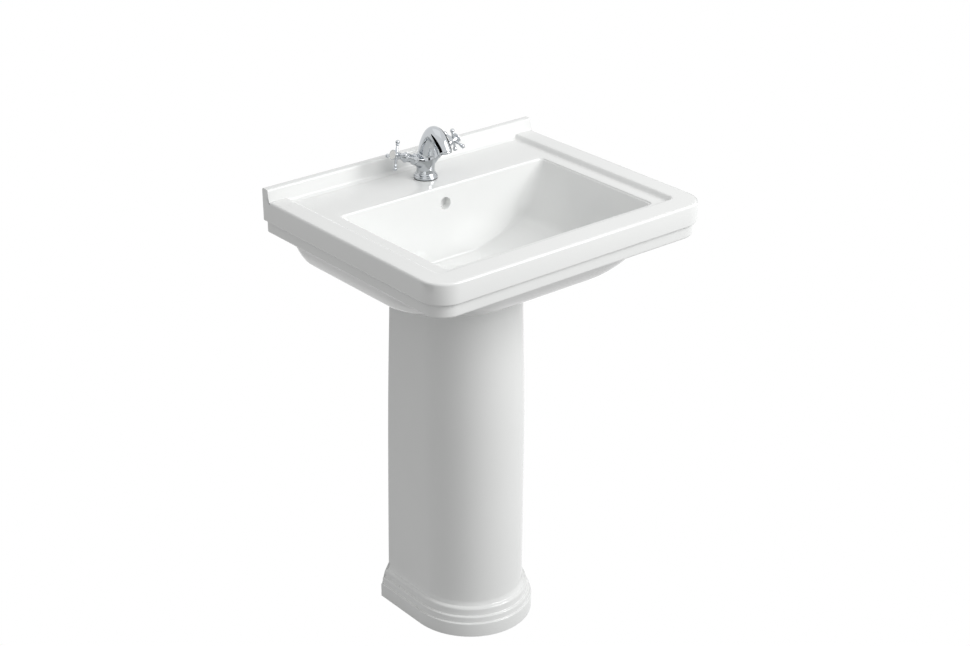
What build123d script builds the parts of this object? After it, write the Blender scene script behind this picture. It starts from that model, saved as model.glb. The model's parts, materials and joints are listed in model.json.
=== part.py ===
from build123d import *
import os
from math import cos, radians, sin

# Pedestal basin with a mixer tap on its deck, in millimetres.
# X runs to the right, Y to the wall, Z up. The origin is on the floor under the middle of the object.
os.makedirs("parts", exist_ok=True)

# Basin, outside
width = 600.0
depth = 495.0
rim_height = 853.5
recess_depth = 8.3
side_border = 35.0
front_border = 43.0
border_slope = 13.0
recess_top_corner = 14.0
recess_foot_corner = 5.0
upper_band = 39.5
lower_band = 25.0
band_step = 7.5
front_corner_radius = 46.0
rear_corner_radius = 6.0
edge_radius = 7.0
upstand_rise = 22.5
upstand_top = 16.0
upstand_foot = 21.0
china = 11.0

# Basin, bowl: distances from the wall run forwards
bowl_side_margin = 71.0
bowl_rear = 132.0
bowl_front_margin = 66.0
bowl_depth = 145.0
bowl_rear_rise = 7.0
rear_wall_slope = 9.0
knee_inset = 54.0
knee_drop = 95.0
knee_radius = 30.0
front_foot_inset = 34.0
front_foot_rise = 22.0
front_foot_radius = 72.0
bowl_corner_radius = 12.0

# Basin, underside: each row gives the share of the depth, then side inset, front inset and corner radius
hull_depth = 105.0
hull_rear_radius = 58.0
hull_rows = (
    (0.00, 22.0, 29.0, 142.0),
    (0.20, 29.0, 41.0, 141.0),
    (0.40, 40.0, 57.0, 140.0),
    (0.56, 54.0, 76.0, 138.0),
    (0.72, 85.0, 106.0, 136.0),
    (0.87, 126.0, 141.0, 123.0),
    (1.00, 180.0, 182.0, 91.0),
)
wall_panel = 14.0
hollow_corner_radius = 40.0
deck_plate = 14.0
access_width = 150.0
wall_bolt_spacing = 280.0
wall_bolt_radius = 7.0
wall_bolt_drop = 75.0

# Drain and overflow
drain_from_wall = 245.0
drain_clearance = 2.1
drain_seat_margin = 1.5
drain_seat_depth = 3.5
drain_boss_radius = 40.0
drain_boss_drop = 16.0
overflow_radius = 11.0
overflow_drop = 32.5
channel_width = 26.0
channel_depth = 11.0
channel_skin = 9.0

# Pedestal: each row gives the share of the height, then the growth of the section and the rear edge
pedestal_half_width = 101.0
pedestal_front = 104.8
pedestal_centre = 196.0
pedestal_wall = 12.0
pedestal_rows = (
    (0.000, 0.0, 72.0),
    (0.300, 0.7, 78.0),
    (0.640, 1.8, 87.0),
    (1.000, -2.8, 94.0),
)
plinth_height = 28.0
plinth_out = 18.4
lower_moulding = 12.5
lower_moulding_out = 14.5
upper_moulding = 15.0
upper_moulding_out = 9.0
moulding_radius = 6.5
plinth_radius = 3.0
foot_lug_width = 34.0
foot_lug_length = 30.0
foot_lug_height = 18.0
foot_bolt_radius = 4.5
foot_bolt_from_wall = 96.0

# Tap, its places and its body: heights run up from the underside of the tap
tap_from_wall = 76.6
tap_hole_radius = 17.5
tap_seal_height = 1.5
tap_base_radius = 22.0
tap_base_height = 6.0
waist_radius = 16.3
waist_height = 15.0
waist_flare = 10.0
column_radius = 17.2
column_height = 36.0
spout_start = 44.0
spout_crest = 88.0
spout_crest_reach = 27.0
spout_reach = 57.0
spout_tip = 60.5
spout_tilt = 28.0
spout_root_radius = 15.6
spout_radius = 13.8
spout_bore = 7.5
chamber_radius = 9.0
chamber_drop = 8.0
arm_tilt = 22.0
arm_height = 30.5
arm_root_radius = 15.0
arm_end_wall = 2.1
arm_end = 26.0
socket_start = 7.0
socket_radius = 8.5
inlet_spacing = 16.0
inlet_ahead = 3.0
inlet_radius = 4.6
inlet_depth = 14.0
feed_radius = 2.6
feed_shift = 1.8
outlet_port_radius = 3.0
stud_radius = 4.0
stud_back = 10.5
stud_grip = 12.0
stud_length = 62.0
fit_gap = 0.05
running_gap = 0.04
clear_gap = 0.3

# Valves and handles, measured along the tilted arm from the tap's axis
seat_seal_thickness = 1.5
seat_seal_bore = 6.0
disc_thickness = 3.0
disc_radius = 7.0
disc_port_radius = 1.9
disc_port_offset = 3.4
cup_wall = 1.15
spindle_radius = 3.5
spindle_flange_radius = 6.2
spindle_flange = 2.5
spindle_end = 66.0
collar_inset = 1.4
collar_height = 4.0
neck_radius = 6.0
neck_end = 44.0
bonnet_radius = 10.5
bonnet_waist = 7.6
bonnet_end_radius = 8.2
bonnet_end = 47.0
handle_start = 48.0
skirt_radius = 9.5
skirt_wall = 1.2
skirt_depth = 2.0
hub_waist = 6.0
hub_radius = 7.4
cross_centre = 70.0
cross_arm = 24.0
cross_arm_radius = 2.3
cross_ball_radius = 4.0
cross_turn = 17.0
cap_seat_radius = 9.0
cap_start = 77.0
cap_rim_height = 2.0
cap_radius = 8.2
cap_thickness = 2.4
cap_dome = 0.8
screw_radius = 1.9
screw_length = 12.0
screw_head_radius = 3.6
screw_head = 2.5
screw_web = 4.0

# Aerator
aerator_depth = 8.0
aerator_skirt = 3.1
aerator_rim_out = 2.0
aerator_rim = 2.5
aerator_wall = 1.6
aerator_seal = 1.2
aerator_insert = 6.0

# Clamp under the deck
horseshoe_radius = 26.0
horseshoe_slot = 28.0
horseshoe_slot_back = 4.5
horseshoe_rubber = 2.5
horseshoe_plate = 2.0
clamp_nut_radius = 7.5
clamp_nut_height = 9.0

# Waste
tail_radius = 20.9
tail_wall = 2.6
tail_length = 78.0
flange_radius = 31.5
flange_thickness = 2.4
flange_bevel = 2.0
throat_flare = 1.3
waste_seal = 1.0
slot_height = 11.0
slot_width = 20.0
washer_thickness = 6.0
washer_width = 9.1
backnut_height = 9.0
backnut_width = 8.1
plug_margin = 0.5
plug_thickness = 3.2
plug_seal_thickness = 2.2
plug_stem_radius = 4.0
plug_stem_length = 40.0
cartridge_radius = 8.0
cartridge_height = 18.0
cartridge_nose = 5.0
cartridge_nose_length = 14.0
bridge_width = 5.0
bridge_height = 4.0

# Trap
inlet_nut_grip = 10.0
nut_lip = 3.0
inlet_nut_wall = 5.1
trap_seal = 3.0
tube_radius = 16.0
tube_wall = 1.5
tube_flange_out = 4.2
tube_flange = 2.0
dip_length = 150.0
trap_radius = 31.0
trap_wall = 2.4
neck_wall = 4.0
neck_height = 18.0
neck_nut_wall = 4.0
neck_nut_height = 16.0
trap_neck_drop = 45.0
head_height = 60.0
cup_height = 76.0
cup_joint = 10.0
cup_thread_gap = 0.3
outlet_drop = 28.0
outlet_socket = 22.0
outlet_socket_wall = 4.0
outlet_nut_length = 16.0
outlet_nut_wall = 4.0
outlet_spigot = 45.0
outlet_spigot_step = 0.2

# Levels and places that follow from the dimensions above
wall = depth / 2
front = -depth / 2
deck = rim_height - recess_depth
step_level = rim_height - upper_band
band_bottom = step_level - lower_band
hull_bottom = band_bottom - hull_depth
bowl_bottom = deck - bowl_depth
bowl_half = width / 2 - bowl_side_margin
bowl_front = depth - bowl_front_margin
upstand_level = rim_height + upstand_rise
drain_y = wall - drain_from_wall
tap_y = wall - tap_from_wall
tap_level = deck + tap_seal_height
arm_level = deck + arm_height
boss_bottom = hull_bottom - drain_boss_drop
channel_front = wall - bowl_rear - rear_wall_slope + china
channel_rear = channel_front + channel_depth
channel_floor = boss_bottom + channel_skin
disc_start = socket_start + seat_seal_thickness
spindle_start = disc_start + 2 * disc_thickness + 2 * running_gap
flange_under = bowl_bottom - drain_seat_depth + waste_seal
flange_top = flange_under + flange_thickness
tail_bottom = flange_under - tail_length
washer_bottom = boss_bottom - washer_thickness
plug_level = flange_top + clear_gap
bridge_top = channel_floor - fit_gap
tube_top = tail_bottom - trap_seal
neck_top = tail_bottom - trap_neck_drop
head_top = neck_top - neck_height
head_bottom = head_top - head_height
outlet_level = head_top - outlet_drop
clamp_level = deck - deck_plate
arm_end_radius = socket_radius + arm_end_wall
collar_radius = arm_end_radius - collar_inset
aerator_radius = spout_bore + aerator_skirt
aerator_rim_radius = aerator_radius + aerator_rim_out
tail_bore = tail_radius - tail_wall
throat_radius = tail_bore + throat_flare
drain_radius = tail_radius + drain_clearance
drain_seat_radius = flange_radius + drain_seat_margin
plug_radius = flange_radius - flange_bevel - plug_margin
washer_radius = tail_radius + washer_width
backnut_radius = tail_radius + backnut_width
inlet_nut_radius = tail_radius + inlet_nut_wall
tube_flange_radius = tube_radius + tube_flange_out
neck_outside = tube_radius + neck_wall
neck_nut_radius = neck_outside + neck_nut_wall
outlet_socket_radius = tube_radius + outlet_socket_wall
outlet_nut_radius = outlet_socket_radius + outlet_nut_wall


def band_outline(inset, level):
    """A slab outline of the apron: square to the wall, round at the two front corners."""
    with BuildSketch(Plane.XY.offset(level)) as outline:
        with Locations((0, inset / 2)):
            Rectangle(width - 2 * inset, depth - inset)
        fillet(outline.vertices().group_by(Axis.Y)[0], radius=front_corner_radius - inset)
        fillet(outline.vertices().group_by(Axis.Y)[-1], radius=rear_corner_radius)
    return outline


def hull_outline(row, grow, lift, rear):
    """One level of the underside, drawn in by a wall thickness where grow is negative."""
    share, side, ahead, corner = row
    half = width / 2 - band_step - side + grow
    front_edge = front + band_step + ahead - grow
    level = band_bottom - share * hull_depth + lift
    with BuildSketch(Plane.XY.offset(level)) as outline:
        with Locations((0, (front_edge + rear) / 2)):
            Rectangle(2 * half, rear - front_edge)
        round_front = min(corner + grow, half - 1)
        fillet(outline.vertices().group_by(Axis.Y)[0], radius=round_front)
        fillet(outline.vertices().group_by(Axis.Y)[-1], radius=hull_rear_radius + grow)
    return outline


def bowl_form(grow):
    """The bowl's inside, or its outer wall where grow is the china's thickness.

    It is the space common to a trough across the basin and a trough from the wall to the front.
    """
    above = rim_height + 2 * china
    knee_x = bowl_half - knee_inset
    with BuildPart() as form:
        with BuildSketch(Plane.XZ.offset(-wall)) as across:
            with BuildLine():
                Polyline((-knee_x, deck - knee_drop), (-bowl_half, deck), (-bowl_half, above),
                         (bowl_half, above), (bowl_half, deck), (knee_x, deck - knee_drop))
                ThreePointArc((knee_x, deck - knee_drop), (0, bowl_bottom), (-knee_x, deck - knee_drop))
            make_face()
            fillet(across.vertices().group_by(Axis.Y)[0], radius=knee_radius)
            if grow:
                offset(amount=grow, kind=Kind.INTERSECTION)
        extrude(amount=depth)
        with BuildSketch(Plane.YZ.offset(-width / 2)) as along:
            foot_y = wall - bowl_front + front_foot_inset
            foot_z = bowl_bottom + front_foot_rise
            rear_y = wall - bowl_rear
            with BuildLine():
                Polyline((rear_y, above), (rear_y, deck),
                         (rear_y - rear_wall_slope, bowl_bottom + bowl_rear_rise),
                         (drain_y, bowl_bottom), (foot_y, foot_z), (wall - bowl_front, deck),
                         (wall - bowl_front, above), close=True)
            make_face()
            near_foot = along.vertices().sort_by_distance((-width / 2, foot_y, foot_z))[0]
            fillet(near_foot, radius=front_foot_radius)
            if grow:
                offset(amount=grow, kind=Kind.INTERSECTION)
        extrude(amount=width, mode=Mode.INTERSECT)
    return form


with BuildPart() as bowl_space:
    add(bowl_form(0).part)
    rear_edges = bowl_space.edges().filter_by_position(
        Axis.Y, wall - bowl_rear - 2 * rear_wall_slope, wall - bowl_rear + 1)
    fillet(rear_edges.filter_by(lambda edge: edge.center().Z < deck + 1), radius=bowl_corner_radius)

with BuildPart() as hollow:
    rear_inside = wall - wall_panel
    for row in hull_rows:
        add(hull_outline(row, -china, china, rear_inside).sketch)
    loft()
    front_inside = front + band_step + china
    with BuildSketch(Plane.XY.offset(band_bottom + china)):
        with Locations((0, (front_inside + rear_inside) / 2)):
            RectangleRounded(width - 2 * band_step - 2 * china, rear_inside - front_inside,
                             hollow_corner_radius)
    extrude(amount=deck - deck_plate - band_bottom - china)
    add(bowl_form(china).part, mode=Mode.SUBTRACT)

with BuildPart() as basin:
    off_wall = wall - wall_panel
    add(band_outline(band_step, band_bottom).sketch)
    extrude(amount=lower_band)
    band_edges = basin.faces().sort_by(Axis.Z)[0].edges().filter_by_position(Axis.Y, front, off_wall)
    fillet(band_edges, radius=edge_radius)
    add(band_outline(0, step_level).sketch)
    extrude(amount=upper_band)
    rim_edges = basin.faces().sort_by(Axis.Z)[-1].edges().filter_by_position(Axis.Y, front, off_wall)
    fillet(rim_edges, radius=edge_radius)
    # The raised border round a recess: the recess runs from the upstand's foot to the front border.
    recess_rear = wall - upstand_foot
    for inset, level, corner in ((0, rim_height, recess_top_corner),
                                 (border_slope, deck, recess_foot_corner)):
        near = front + front_border + inset
        with BuildSketch(Plane.XY.offset(level)) as step:
            with Locations((0, (near + recess_rear) / 2)):
                Rectangle(width - 2 * side_border - 2 * inset, recess_rear - near)
            fillet(step.vertices().group_by(Axis.Y)[0], radius=corner)
    loft(mode=Mode.SUBTRACT)
    for row in hull_rows:
        add(hull_outline(row, 0, 0, wall).sketch)
    loft()
    with BuildSketch(Plane.YZ.offset(-width / 2)):
        with BuildLine():
            Polyline((wall, deck), (wall, upstand_level), (wall - upstand_top, upstand_level),
                     (wall - upstand_foot, deck), close=True)
        make_face()
    extrude(amount=width)
    fillet(basin.faces().sort_by(Axis.Z)[-1].edges(), radius=edge_radius - 1.5)
    add(bowl_space.part, mode=Mode.SUBTRACT)
    add(hollow.part, mode=Mode.SUBTRACT)
    # The overflow's duct: down behind the bowl, then forwards under its floor to the waste hole.
    with BuildSketch(Plane.XY.offset(boss_bottom)):
        with Locations((0, (channel_front + channel_rear) / 2)):
            Rectangle(channel_width + 2 * channel_skin, channel_depth + 2 * channel_skin)
    extrude(amount=deck - deck_plate / 2 - boss_bottom)
    with BuildSketch(Plane.XY.offset(boss_bottom)):
        with Locations((0, (drain_y + channel_rear + channel_skin) / 2)):
            Rectangle(channel_width + 2 * channel_skin, channel_rear + channel_skin - drain_y)
        with Locations((0, drain_y)):
            Circle(drain_boss_radius)
    extrude(amount=hull_bottom + china - boss_bottom)
    with BuildSketch(Plane.XY.offset(channel_floor)):
        with Locations((0, (channel_front + channel_rear) / 2)):
            Rectangle(channel_width, channel_depth)
    extrude(amount=deck - overflow_drop + overflow_radius - channel_floor, mode=Mode.SUBTRACT)
    with BuildSketch(Plane.XY.offset(channel_floor)):
        with Locations((0, (drain_y + channel_rear) / 2)):
            Rectangle(channel_width, channel_rear - drain_y)
    extrude(amount=channel_depth, mode=Mode.SUBTRACT)
    with BuildSketch(Plane.XZ.offset(-channel_front - 1)):
        with Locations((0, deck - overflow_drop)):
            Circle(overflow_radius)
    extrude(amount=2 * china, mode=Mode.SUBTRACT)
    # The waste hole with its seat, the tap hole, the wall bolt holes and the way in from below.
    with BuildSketch(Plane.XY.offset(boss_bottom)):
        with Locations((0, drain_y)):
            Circle(drain_radius)
    extrude(amount=bowl_bottom + bowl_rear_rise - boss_bottom, mode=Mode.SUBTRACT)
    with BuildSketch(Plane.XY.offset(bowl_bottom - drain_seat_depth)):
        with Locations((0, drain_y)):
            Circle(drain_seat_radius)
    extrude(amount=2 * drain_seat_depth + bowl_rear_rise, mode=Mode.SUBTRACT)
    with BuildSketch(Plane.XY.offset(deck - deck_plate)):
        with Locations((0, tap_y)):
            Circle(tap_hole_radius)
    extrude(amount=2 * deck_plate, mode=Mode.SUBTRACT)
    with BuildSketch(Plane.XZ.offset(-wall)):
        with Locations((0, deck - wall_bolt_drop)):
            with GridLocations(wall_bolt_spacing, 1, 2, 1):
                Circle(wall_bolt_radius)
    extrude(amount=wall_panel + china, mode=Mode.SUBTRACT)
    with BuildSketch(Plane.XY.offset(boss_bottom)):
        access_front = wall - pedestal_rows[-1][2] + clear_gap
        access_rear = wall - wall_panel - clear_gap
        with Locations((0, (access_front + access_rear) / 2)):
            Rectangle(access_width, access_rear - access_front)
    extrude(amount=hull_bottom + 2 * china - boss_bottom, mode=Mode.SUBTRACT)

basin.part.label = "basin"
export_step(basin.part, "parts/basin.step")


def pedestal_outline(half, ahead, rear, level):
    """A level of the pedestal: straight sides from the back, closed by half an ellipse in front."""
    centre = wall - pedestal_centre
    with BuildSketch(Plane.XY.offset(level)) as outline:
        with BuildLine():
            EllipticalCenterArc((0, centre), half, ahead, start_angle=180, arc_size=180)
            Polyline((half, centre), (half, wall - rear), (-half, wall - rear), (-half, centre))
        make_face()
    return outline


def foot_ring(out, level, height, round_edge):
    """One slab of the foot, wider than the shaft by out, with its top edge rounded but for the back."""
    with BuildPart() as slab:
        half = pedestal_half_width + out
        add(pedestal_outline(half, pedestal_front + out, pedestal_rows[0][2], level).sketch)
        extrude(amount=height)
        fillet(slab.faces().sort_by(Axis.Z)[-1].edges().sort_by(Axis.Y)[:-1], radius=round_edge)
    return slab


with BuildPart() as pedestal:
    for share, swell, rear in pedestal_rows:
        level = share * hull_bottom
        add(pedestal_outline(pedestal_half_width + swell, pedestal_front + swell, rear, level).sketch)
    loft()
    # The foot: a tall plinth and two round mouldings above it, each drawn in from the one below.
    foot_level = 0.0
    for out, height, round_edge in (
        (plinth_out, plinth_height, plinth_radius),
        (lower_moulding_out, lower_moulding, moulding_radius),
        (upper_moulding_out, upper_moulding, moulding_radius),
    ):
        add(foot_ring(out, foot_level, height, round_edge).part)
        foot_level = foot_level + height
    # The inside is open to the back and at both ends.
    for share, swell, rear in pedestal_rows:
        level = share * hull_bottom
        inner = pedestal_half_width + swell - pedestal_wall
        ahead = pedestal_front + swell - pedestal_wall
        add(pedestal_outline(inner, ahead, pedestal_rows[0][2] - pedestal_wall, level).sketch)
    loft(mode=Mode.SUBTRACT)
    # Two lugs inside the foot take the floor screws.
    lug_middle = pedestal_half_width - pedestal_wall + 1 - foot_lug_length / 2
    with BuildSketch(Plane.XY):
        for side in (-1, 1):
            with Locations((side * lug_middle, wall - foot_bolt_from_wall)):
                Rectangle(foot_lug_length, foot_lug_width)
    extrude(amount=foot_lug_height)
    with BuildSketch(Plane.XY):
        for side in (-1, 1):
            with Locations((side * lug_middle, wall - foot_bolt_from_wall)):
                Circle(foot_bolt_radius)
    extrude(amount=foot_lug_height, mode=Mode.SUBTRACT)

pedestal.part.label = "pedestal"
export_step(pedestal.part, "parts/pedestal.step")


def turn(points, place, direction=(0, 0, 1), radial=(0, -1, 0)):
    """Spins a closed outline of (radius, distance along the axis) points about a line through place."""
    with BuildPart() as turned:
        with BuildSketch(Plane(origin=place, x_dir=radial, z_dir=Vector(radial).cross(Vector(direction)))):
            with BuildLine():
                Polyline(*points, close=True)
            make_face()
        revolve(axis=Axis(place, direction))
    return turned


def ring(inner, outer, low, high, place, direction=(0, 0, 1), radial=(0, -1, 0)):
    """A plain ring or sleeve round a line through place."""
    return turn([(inner, low), (outer, low), (outer, high), (inner, high)], place, direction, radial)


def save(part, label):
    """Names a finished piece and writes it."""
    part.label = label
    export_step(part, "parts/" + label + ".step")


# The tap's vertical axis, the spout's centre line and the two tilted arms
tap_foot = (0, tap_y, tap_level)
arm_root = (0, tap_y, arm_level)
sides = (("hot", -1), ("cold", 1))
with BuildLine(Plane.YZ) as spout_line:
    Spline((tap_y, tap_level + spout_start), (tap_y - spout_crest_reach, tap_level + spout_crest),
           (tap_y - spout_reach, tap_level + spout_tip),
           tangents=((0, 1), (-sin(radians(spout_tilt)), -cos(radians(spout_tilt)))))
spout_path = spout_line.line.edges()[0]
tip_place = spout_path @ 1
tip_direction = spout_path % 1


def arm_direction(side):
    """The way an arm leaves the column: outwards and tilted up."""
    return Vector(side * cos(radians(arm_tilt)), 0, sin(radians(arm_tilt)))


def spout_section(share, radius):
    """A round section of the spout at a share of its centre line."""
    with BuildSketch(Plane(origin=spout_path @ share, x_dir=(1, 0, 0), z_dir=spout_path % share)) as section:
        Circle(radius)
    return section


with BuildPart() as tap_body:
    add(turn([(0, 0), (tap_base_radius, 0), (tap_base_radius, tap_base_height - 2),
              (tap_base_radius - 2, tap_base_height), (waist_radius + 1.5, tap_base_height + 2),
              (waist_radius, waist_height), (column_radius, waist_height + waist_flare),
              (column_radius, column_height), (spout_root_radius, spout_start + 2),
              (0, spout_start + 2)], tap_foot).part)
    for label, side in sides:
        add(turn([(0, 0), (arm_root_radius, 0), (arm_root_radius, socket_start),
                  (arm_end_radius + 2, arm_end - 8), (arm_end_radius, arm_end - 1.5),
                  (arm_end_radius, arm_end), (0, arm_end)], arm_root, arm_direction(side)).part)
    for share in (0, 0.25, 0.5, 0.75, 1):
        add(spout_section(share, spout_root_radius + share * (spout_radius - spout_root_radius)).sketch)
    loft()
    # Water ways: two inlets and feeds, two valve sockets, the mixing chamber, the spout and its mouth.
    for share in (0, 0.25, 0.5, 0.75, 1):
        add(spout_section(share, spout_bore).sketch)
    loft(mode=Mode.SUBTRACT)
    add(ring(0, chamber_radius, arm_height - chamber_drop, spout_start + 1, tap_foot).part,
        mode=Mode.SUBTRACT)
    add(ring(0, aerator_radius + fit_gap, -aerator_depth - aerator_seal, 1, tip_place, tip_direction,
             (1, 0, 0)).part, mode=Mode.SUBTRACT)
    for label, side in sides:
        inlet = (side * inlet_spacing / 2, tap_y - inlet_ahead, tap_level)
        feed = (side * (inlet_spacing / 2 + feed_shift), tap_y - inlet_ahead, tap_level)
        add(ring(0, inlet_radius, -1, inlet_depth, inlet).part, mode=Mode.SUBTRACT)
        add(ring(0, feed_radius, inlet_depth - 1, arm_height, feed).part, mode=Mode.SUBTRACT)
        add(ring(0, socket_radius, socket_start, arm_end + 1, arm_root, arm_direction(side)).part,
            mode=Mode.SUBTRACT)
        add(ring(0, outlet_port_radius, 0, socket_start + 1, arm_root, arm_direction(side)).part,
            mode=Mode.SUBTRACT)
    stud_place = (0, tap_y + stud_back, tap_level)
    add(ring(0, stud_radius + fit_gap, -1, stud_grip, stud_place).part, mode=Mode.SUBTRACT)
save(tap_body.part, "tap_body")

# Aerator: a screwed ring with a plastic insert, against a seal at the bottom of the spout's mouth
mouth = -aerator_depth
save(ring(spout_bore + fit_gap, aerator_radius - fit_gap, mouth - aerator_seal, mouth, tip_place,
          tip_direction, (1, 0, 0)).part, "aerator_seal")
save(turn([(aerator_radius - aerator_wall, mouth), (aerator_radius, mouth), (aerator_radius, 0),
           (aerator_rim_radius, 0), (aerator_rim_radius - 0.8, aerator_rim),
           (aerator_radius - aerator_wall, aerator_rim)], tip_place, tip_direction, (1, 0, 0)).part,
     "aerator_housing")
save(ring(0, aerator_radius - aerator_wall - fit_gap, mouth, mouth + aerator_insert, tip_place, tip_direction,
          (1, 0, 0)).part, "aerator_insert")

# Clamp: seal ring on the deck, stud, horseshoe washers and nut under it
save(ring(tap_hole_radius, tap_base_radius - 0.6, deck, tap_level, (0, tap_y, 0)).part, "tap_base_seal")
save(ring(0, stud_radius, stud_grip - stud_length, stud_grip, stud_place).part, "tap_stud")
for label, top, thickness in (("tap_horseshoe_rubber", clamp_level, horseshoe_rubber),
                              ("tap_horseshoe_plate", clamp_level - horseshoe_rubber, horseshoe_plate)):
    with BuildPart() as horseshoe:
        with BuildSketch(Plane.XY.offset(top - thickness)):
            with Locations((0, tap_y)):
                Circle(horseshoe_radius)
            with Locations((0, tap_y + horseshoe_slot_back - horseshoe_radius)):
                Rectangle(horseshoe_slot, 2 * horseshoe_radius, mode=Mode.SUBTRACT)
            with Locations((0, tap_y + stud_back)):
                Circle(stud_radius + fit_gap, mode=Mode.SUBTRACT)
        extrude(amount=thickness)
    save(horseshoe.part, label)
with BuildPart() as clamp_nut:
    nut_top = clamp_level - horseshoe_rubber - horseshoe_plate
    with BuildSketch(Plane.XY.offset(nut_top - clamp_nut_height)):
        with Locations((0, tap_y + stud_back)):
            RegularPolygon(clamp_nut_radius, 6)
            Circle(stud_radius + fit_gap, mode=Mode.SUBTRACT)
    extrude(amount=clamp_nut_height)
save(clamp_nut.part, "tap_clamp_nut")

# Hot and cold sides: valve, bonnet and cross handle, each turned about its own arm
for label, side in sides:
    along = arm_direction(side)
    disc_top = disc_start + disc_thickness
    save(ring(seat_seal_bore, socket_radius - fit_gap, socket_start, disc_start, arm_root, along).part,
         "seat_seal_" + label)
    for disc_label, low, radius in (("fixed_disc_", disc_start, socket_radius - cup_wall - fit_gap),
                                    ("moving_disc_", disc_top + running_gap, disc_radius)):
        with BuildPart() as disc:
            base = Plane(origin=Vector(*arm_root) + along * low, x_dir=(0, 1, 0), z_dir=along)
            with BuildSketch(base):
                Circle(radius)
                with PolarLocations(disc_port_offset, 2):
                    Circle(disc_port_radius, mode=Mode.SUBTRACT)
            extrude(amount=disc_thickness)
        save(disc.part, disc_label + label)

    shoulder = spindle_start + spindle_flange + clear_gap
    bore = spindle_radius + running_gap
    collar_top = arm_end + collar_height
    save(turn([(socket_radius - cup_wall, disc_start), (socket_radius - fit_gap, disc_start),
               (socket_radius - fit_gap, arm_end), (collar_radius, arm_end), (collar_radius, collar_top),
               (neck_radius, collar_top), (neck_radius, neck_end), (bore, neck_end),
               (bore, shoulder), (socket_radius - cup_wall, shoulder)], arm_root, along).part,
         "valve_body_" + label)

    hole = screw_radius + fit_gap
    head = spindle_end + screw_web
    hole_start = head - screw_length - 1
    save(turn([(0, spindle_start), (spindle_flange_radius, spindle_start),
               (spindle_flange_radius, spindle_start + spindle_flange),
               (spindle_radius, spindle_start + spindle_flange), (spindle_radius, spindle_end),
               (hole, spindle_end), (hole, hole_start), (0, hole_start)], arm_root, along).part,
         "spindle_" + label)

    inside = collar_radius + fit_gap
    collar_end = collar_top + fit_gap
    neck_hole = neck_radius + fit_gap
    save(turn([(inside, arm_end), (bonnet_radius, arm_end), (bonnet_radius, arm_end + 3),
               (bonnet_radius - 1, collar_end), (bonnet_waist, collar_end + 4),
               (bonnet_waist, bonnet_end - 7), (bonnet_end_radius, bonnet_end - 2),
               (bonnet_end_radius, bonnet_end), (neck_hole, bonnet_end), (neck_hole, collar_end),
               (inside, collar_end)], arm_root, along).part, "bonnet_" + label)

    cap_rim = cap_start + cap_rim_height
    with BuildPart() as handle:
        add(turn([(0, handle_start), (skirt_radius, handle_start), (skirt_radius, handle_start + 1.2),
                  (skirt_radius - 2, handle_start + 5), (hub_waist, handle_start + 10),
                  (hub_waist, cross_centre - 7), (hub_radius, cross_centre - 4),
                  (hub_radius, cross_centre + 4), (hub_waist, cap_start - 1.2),
                  (cap_seat_radius, cap_start), (cap_seat_radius, cap_rim),
                  (0, cap_rim)], arm_root, along).part)
        centre = Vector(*arm_root) + along * cross_centre
        across = Vector(0, 1, 0)
        for step in range(4):
            turn_angle = radians(cross_turn + 90 * step)
            spoke = across * cos(turn_angle) + along.cross(across) * sin(turn_angle)
            with BuildSketch(Plane(origin=centre, z_dir=spoke)):
                Circle(cross_arm_radius)
            extrude(amount=cross_arm)
            with Locations(Location(centre + spoke * cross_arm)):
                Sphere(cross_ball_radius)
        add(ring(0, skirt_radius - skirt_wall, handle_start - 1, handle_start + skirt_depth, arm_root,
                 along).part, mode=Mode.SUBTRACT)
        add(ring(0, spindle_radius + fit_gap, handle_start, spindle_end + fit_gap, arm_root, along).part,
            mode=Mode.SUBTRACT)
        add(ring(0, hole, spindle_end, cap_start, arm_root, along).part, mode=Mode.SUBTRACT)
        for radius, start in ((screw_head_radius + clear_gap, head), (cap_radius + fit_gap, cap_start)):
            add(ring(0, radius, start, cap_rim + 1, arm_root, along).part, mode=Mode.SUBTRACT)
    save(handle.part, "cross_handle_" + label)
    save(turn([(0, head - screw_length), (screw_radius, head - screw_length), (screw_radius, head),
               (screw_head_radius, head), (screw_head_radius, head + screw_head), (0, head + screw_head)],
              arm_root, along).part, "handle_screw_" + label)
    save(turn([(0, cap_start), (cap_radius, cap_start), (cap_radius, cap_start + cap_thickness - cap_dome),
               (cap_radius * 0.7, cap_start + cap_thickness), (0, cap_start + cap_thickness + cap_dome / 2)],
              arm_root, along).part, "index_cap_" + label)

# Waste: flanged tail with a bridge for the click cartridge, its seals and backnut, and the plug
drain = (0, drain_y, 0)
with BuildPart() as waste:
    add(turn([(tail_bore, tail_bottom), (tail_radius, tail_bottom), (tail_radius, flange_under),
              (flange_radius, flange_under), (flange_radius, flange_under + 0.8),
              (flange_radius - flange_bevel, flange_top), (throat_radius, flange_top),
              (throat_radius, flange_under), (tail_bore, flange_under - throat_radius + tail_bore)],
             drain).part)
    with BuildSketch(Plane.XY.offset(bridge_top - bridge_height)):
        with Locations((0, drain_y)):
            Rectangle(2 * tail_bore + 1, bridge_width)
            Rectangle(bridge_width, 2 * tail_bore + 1)
            Circle(cartridge_radius)
            Circle(cartridge_nose + fit_gap, mode=Mode.SUBTRACT)
    extrude(amount=bridge_height)
    with BuildSketch(Plane.XY.offset(channel_floor)):
        with Locations((0, drain_y)):
            Rectangle(slot_width, 3 * tail_radius)
            Circle(tail_bore - 0.5, mode=Mode.SUBTRACT)
    extrude(amount=slot_height, mode=Mode.SUBTRACT)
save(waste.part, "waste_body")
save(ring(drain_radius, flange_radius - 0.5, flange_under - waste_seal, flange_under, drain).part,
     "waste_seal")
grip = tail_radius + fit_gap
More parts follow.
